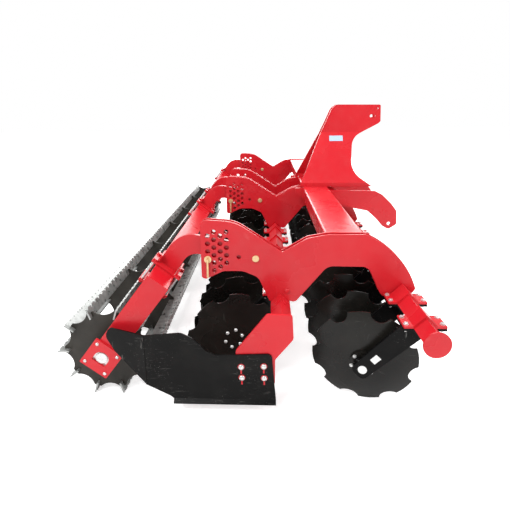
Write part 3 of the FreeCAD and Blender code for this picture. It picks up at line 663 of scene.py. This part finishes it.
# %% Flanges, ribs and long bolts
inner_station, outer_station = 0.250, 1.750
stations = (-outer_station, -inner_station, inner_station, outer_station)
beam_middle, half_beam = Vector((-0.5284, 0.0, 0.6008)), 0.055
flange_size, flange_sheet, flange_bevel = (0.172, 0.120, 0.012), 0.012, 0.0015
rib_size, rib_across, rib_along, rib_up = (0.010, 0.046, 0.042), 0.02016, 0.058, 0.032
shank_radius, shank_spare, shank_across, shank_along = 0.008, 0.01, 0.045, 0.072
flange_bolt_radius = 0.0145
down = Vector((-math.sin(slope), 0.0, -math.cos(slope)))
fore = Vector((math.cos(slope), 0.0, -math.sin(slope)))
lay = Matrix((fore, Vector((0, 1, 0)), fore.cross(Vector((0, 1, 0))))).transposed().to_4x4()
bolt_seat = half_beam + flange_sheet - sink
plates, shanks, heads, feet = [], [], [], []
for station in stations:
    centre = beam_middle + Vector((0, station, 0))
    for way in (-1, 1):
        place = Matrix.Translation(centre + down * way * (half_beam + flange_sheet / 2)) @ lay
        plates.append(plate_box(flange_size, place, flange_bevel))
    for across in (-rib_across, rib_across):
        for along in (-rib_along, rib_along):
            spot = centre - down * (half_beam + rib_up) + fore * along + Vector((0, across, 0))
            plates.append(plate_box(rib_size, Matrix.Translation(spot) @ lay, flange_bevel))
    for across in (-shank_across, shank_across):
        for along in (-shank_along, shank_along):
            spot = centre + fore * along + Vector((0, across, 0))
            stance = facing(spot - down * (half_beam + shank_spare), down)
            shanks.append(round_plate(shank_radius, 2 * (half_beam + shank_spare), stance, vertices=16))
            heads.append((spot - down * bolt_seat, -down))
            feet.append((spot + down * bolt_seat, down))
hand_over(joined(plates), "arm_flanges", "roller_frame", red)
hand_over(joined(shanks), "flange_bolt_shanks", "roller_frame", zinc)
bolt_set("flange_bolt_heads", hexagon, flange_bolt_radius, heads, "roller_frame", red)
bolt_set("flange_bolt_nuts", nut, flange_bolt_radius, feet, "roller_frame", red)

# %% [markdown]
# ## Pivot pins
# The roller arms turn on plain pins that end almost flush with the plates, with a small chamfered head.

# %% Pivot pins
# Start along the pin, length and radius of the shank and of its two heads
pin_parts = ((-0.0345, 0.069, 0.0149), (-0.0335, 0.006, 0.0175), (0.0275, 0.006, 0.0175))
pin_bevel = 0.0012
pin_low, pin_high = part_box("pivot_pins")
pin_x, pin_z = (pin_low[0] + pin_high[0]) / 2, (pin_low[2] + pin_high[2]) / 2
pins = []
for station in stations:
    for start, length, radius in pin_parts:
        stance = facing((pin_x, station + start, pin_z), (0, 1, 0))
        pins.append(round_plate(radius, length, stance, bevel=pin_bevel))
pivot = hand_over(joined(pins), "turned_pivot_pins", "frame", yellow_zinc)
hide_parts("pivot_pins")

# %% [markdown]
# ## Arched plates
# Eight plates carry the machine. Each is flame-cut from 12 mm sheet, with a full arch over the front discs, a
# smaller one over the rear discs, notches that sit on the two tubes, and the grid of depth holes. A flat
# curve with its holes is filled and thickened, and a small chamfer breaks every edge. The plates are remade
# here because the front arch of the solids is a little wide and its nose too square.

# %% Plate outline and holes, in mm
def rounded(corners, steps=14):
    """Points of a closed outline from (x, z, radius) corners."""
    points = []
    for index, (x, z, radius) in enumerate(corners):
        corner = Vector((x, z))
        if radius == 0:
            points.append(corner)
            continue
        back = (Vector(corners[index - 1][:2]) - corner).normalized()
        ahead = (Vector(corners[(index + 1) % len(corners)][:2]) - corner).normalized()
        half_angle = back.angle(ahead) / 2
        reach = radius / math.tan(half_angle)
        centre = corner + (back + ahead).normalized() * (radius / math.sin(half_angle))
        first, last = corner + back * reach - centre, corner + ahead * reach - centre
        sweep = first.angle_signed(last)
        for step in range(steps + 1):
            turn = -sweep * step / steps
            points.append(centre + Matrix.Rotation(turn, 2) @ first)
    return points


# Corners (x, z, radius) clockwise: over the rear arch, over the beam or down into its slot, round the nose
# to the front tube's notch, and back under the front arch, the rear tube's notch and the rear arch
rear_part = [(-313, 905, 35), (-139, 893, 200), (101, 735, 10), (226, 808, 90)]
over_beam = [(330, 828, 200), (512, 827, 0)]
beam_slot = [(316, 825, 0), (316, 720, 0), (516, 720, 0), (516, 825, 0)]
front_part = [
    (710, 746, 462), (777, 543, 0), (764, 520, 8), (746, 519.5, 0), (706, 559.5, 0), (656.5, 510, 0),
    (679, 487.5, 0), (667, 462, 12), (603, 512, 60), (534, 659, 50), (330, 662, 62), (169, 464, 25),
    (136, 471.5, 0), (92, 515.5, 0), (48, 471.5, 0), (37, 470, 5), (-21, 600, 60), (-99, 634, 100),
    (-199, 634, 60), (-294, 588, 25), (-313, 600, 12)]
grid_x, grid_step_x, grid_step_z, grid_radius = -278, 32, 41, 12.55
grid_columns = ((4, 0.5), (6, 0), (5, 0.5), (5, 0))  # number of holes, and stagger in steps
pin_head = 0.0185  # from a depth pin's axis to the top of its head, in metres
depth_pins_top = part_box("depth_pins")[1][2]
grid_top = (depth_pins_top - pin_head) * 1000 + 3.5 * grid_step_z
holes = [(-34, 702, 15.05), (-120, 709, 11)]
for column, (count, stagger) in enumerate(grid_columns):
    for step in range(count):
        holes.append((grid_x + column * grid_step_x, grid_top - (step + stagger) * grid_step_z, grid_radius))


def cut_sheet(corners, thickness, chamfer, hole_sides=28):
    """Plate in the XZ plane, centred on Y = 0, from an outline in mm; its sheet is in metres."""
    curve = bpy.data.curves.new("cut_sheet", "CURVE")
    curve.dimensions = "2D"
    curve.fill_mode = "BOTH"
    loops = [[tuple(point) for point in rounded(corners)]]
    for x, z, radius in holes:
        angles = [math.tau * step / hole_sides for step in range(hole_sides)]
        loops.append([(x + radius * math.cos(angle), z + radius * math.sin(angle)) for angle in angles])
    for loop in loops:
        spline = curve.splines.new("POLY")
        spline.points.add(len(loop) - 1)
        for point, (x, z) in zip(spline.points, loop):
            point.co = (x / 1000, z / 1000, 0.0, 1.0)
        spline.use_cyclic_u = True
    curve.extrude = thickness / 2 - chamfer
    curve.bevel_depth = chamfer
    curve.bevel_resolution = 0
    curve.offset = -chamfer
    plate = bpy.data.objects.new("cut_sheet", curve)
    bpy.context.collection.objects.link(plate)
    only(plate)
    bpy.ops.object.convert(target="MESH")
    plate = bpy.context.object
    plate.data.transform(Matrix.Rotation(math.radians(90), 4, "X"))
    only(plate)
    bpy.ops.object.mode_set(mode="EDIT")
    bpy.ops.mesh.select_all(action="SELECT")
    bpy.ops.mesh.remove_doubles(threshold=0.00001)
    bpy.ops.mesh.normals_make_consistent(inside=False)
    bpy.ops.object.mode_set(mode="OBJECT")
    return plate


# %% Eight plates
plate_sheet, plate_chamfer, pair_half = 0.012, 0.0008, 0.021
for kind, station, top in (("outer", outer_station, over_beam), ("inner", inner_station, beam_slot)):
    plate = cut_sheet(rear_part + top + front_part, plate_sheet, plate_chamfer)
    places = [Matrix.Translation((0, side * station + across, 0))
              for side in (-1, 1) for across in (-pair_half, pair_half)]
    plates = joined_copies(plate, places)
    discard(plate)
    hand_over(plates, "arched_plates_" + kind, "frame", red)
    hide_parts("frame_plates_" + kind)
    print("plates", kind, len(plates.data.polygons), "faces")

# %% [markdown]
# ## Blank plate on the mast
# A small type plate sits on the right mast plate, under its upper bend. It is left blank. It is laid on the
# sheet where a line along the machine's width meets it, so that it follows the bend.

# %% Type plate
type_plate_size, type_plate_lift = (0.110, 0.050, 0.0012), 0.0008
type_plate_line = Vector((0.600, -1.0, 1.190))  # start of the line, outside the right mast plate
mast = frame["nodes"]["headstock_mast"]
found, spot, normal, _ = mast.ray_cast(type_plate_line, Vector((0, 1, 0)))
if found:
    rise = Vector((0, 0, 1)) - normal * normal.z
    rise.normalize()
    lie = Matrix((rise.cross(normal), rise, normal)).transposed().to_4x4()
    type_plate = plate_box(type_plate_size, Matrix.Translation(spot + normal * type_plate_lift) @ lie)
    hand_over(type_plate, "type_plate", "frame", blue_plate)
print("type plate", found)

# %% [markdown]
# ## Camera, light and floor
# The camera stands at the machine's right rear, a little above it. Soft light comes from large lamps,
# and the floor is plain and pale.

# %% Camera
camera_place = (0.022, -3.917, 1.431)
yaw, pitch_down, roll = math.radians(-2.90), math.radians(15.49), math.radians(-0.78)
camera_data = bpy.data.cameras.new("camera")
camera = bpy.data.objects.new("camera", camera_data)
bpy.context.collection.objects.link(camera)
camera_data.sensor_width = 36.0
camera_data.lens = 31.4
camera_data.shift_x = 0.0196
camera_data.shift_y = -0.0433
camera_data.clip_start = 0.05
ahead = Vector((math.sin(yaw) * math.cos(pitch_down), math.cos(yaw) * math.cos(pitch_down),
                -math.sin(pitch_down)))
aim = ahead.to_track_quat("-Z", "Y").to_matrix().to_4x4()
camera.matrix_world = Matrix.Translation(camera_place) @ aim @ Matrix.Rotation(roll, 4, "Z")
bpy.context.scene.camera = camera

# %% Floor, backdrop light and lamps
floor_glow = 0.52  # seen by the camera only
world_strength, backdrop_strength = 0.55, 1.0  # on the object, and as the camera sees it
clear_selection()
bpy.ops.mesh.primitive_plane_add(size=60.0, location=(0, 0, 0))
floor = bpy.context.object
floor.name = "floor"


def floor_material():
    """Near-white floor that keeps the shadow and meets a white background."""
    material = bpy.data.materials.new("studio_floor")
    material.use_nodes = True
    tree = material.node_tree
    shader = tree.nodes["Principled BSDF"]
    speckle = noise(tree, 40.0, 4.0)
    tone = mix_colours(tree, remap(tree, speckle, 0.3, 0.7), (0.86, 0.86, 0.86), (0.90, 0.90, 0.90))
    tree.links.new(tone, shader.inputs["Base Color"])
    shader.inputs["Roughness"].default_value = 0.9
    glow = tree.nodes.new("ShaderNodeEmission")
    rays = tree.nodes.new("ShaderNodeLightPath")
    strength = math_node(tree, "MULTIPLY", rays.outputs["Is Camera Ray"], floor_glow)
    tree.links.new(strength, glow.inputs["Strength"])
    both = tree.nodes.new("ShaderNodeAddShader")
    tree.links.new(shader.outputs["BSDF"], both.inputs[0])
    tree.links.new(glow.outputs["Emission"], both.inputs[1])
    tree.links.new(both.outputs["Shader"], tree.nodes["Material Output"].inputs["Surface"])
    return material


floor.data.materials.append(floor_material())

world = bpy.data.worlds.new("studio")
bpy.context.scene.world = world
world.use_nodes = True
tree = world.node_tree
background = tree.nodes["Background"]
light_path = tree.nodes.new("ShaderNodeLightPath")
strength = remap(tree, light_path.outputs["Is Camera Ray"], 0.0, 1.0, world_strength, backdrop_strength)
background.inputs["Color"].default_value = (1.0, 1.0, 1.0, 1.0)
tree.links.new(strength, background.inputs["Strength"])


def lamp(name, place, target, size, power):
    """Square area lamp turned to a target; size in metres, power in watts."""
    data = bpy.data.lights.new(name, "AREA")
    data.shape = "SQUARE"
    data.size = size
    data.energy = power
    item = bpy.data.objects.new(name, data)
    bpy.context.collection.objects.link(item)
    aim = (Vector(target) - Vector(place)).to_track_quat("-Z", "Y").to_matrix().to_4x4()
    item.matrix_world = Matrix.Translation(place) @ aim


lamp("key", (-3.0, -5.0, 6.0), (0, 0, 0.5), 3.5, 420)
lamp("fill", (5.0, -3.0, 4.0), (0, 0, 0.5), 4.0, 220)
lamp("top", (0.0, 2.0, 7.0), (0, 0, 0.3), 5.0, 300)
lamp("glare", (1.0, 9.0, 3.4), (0.3, 0, 0.6), 5.5, 430)
bpy.context.scene.view_settings.view_transform = "Standard"

# %% Remove the masters and close
discard(hexagon, nut, rounded_head)
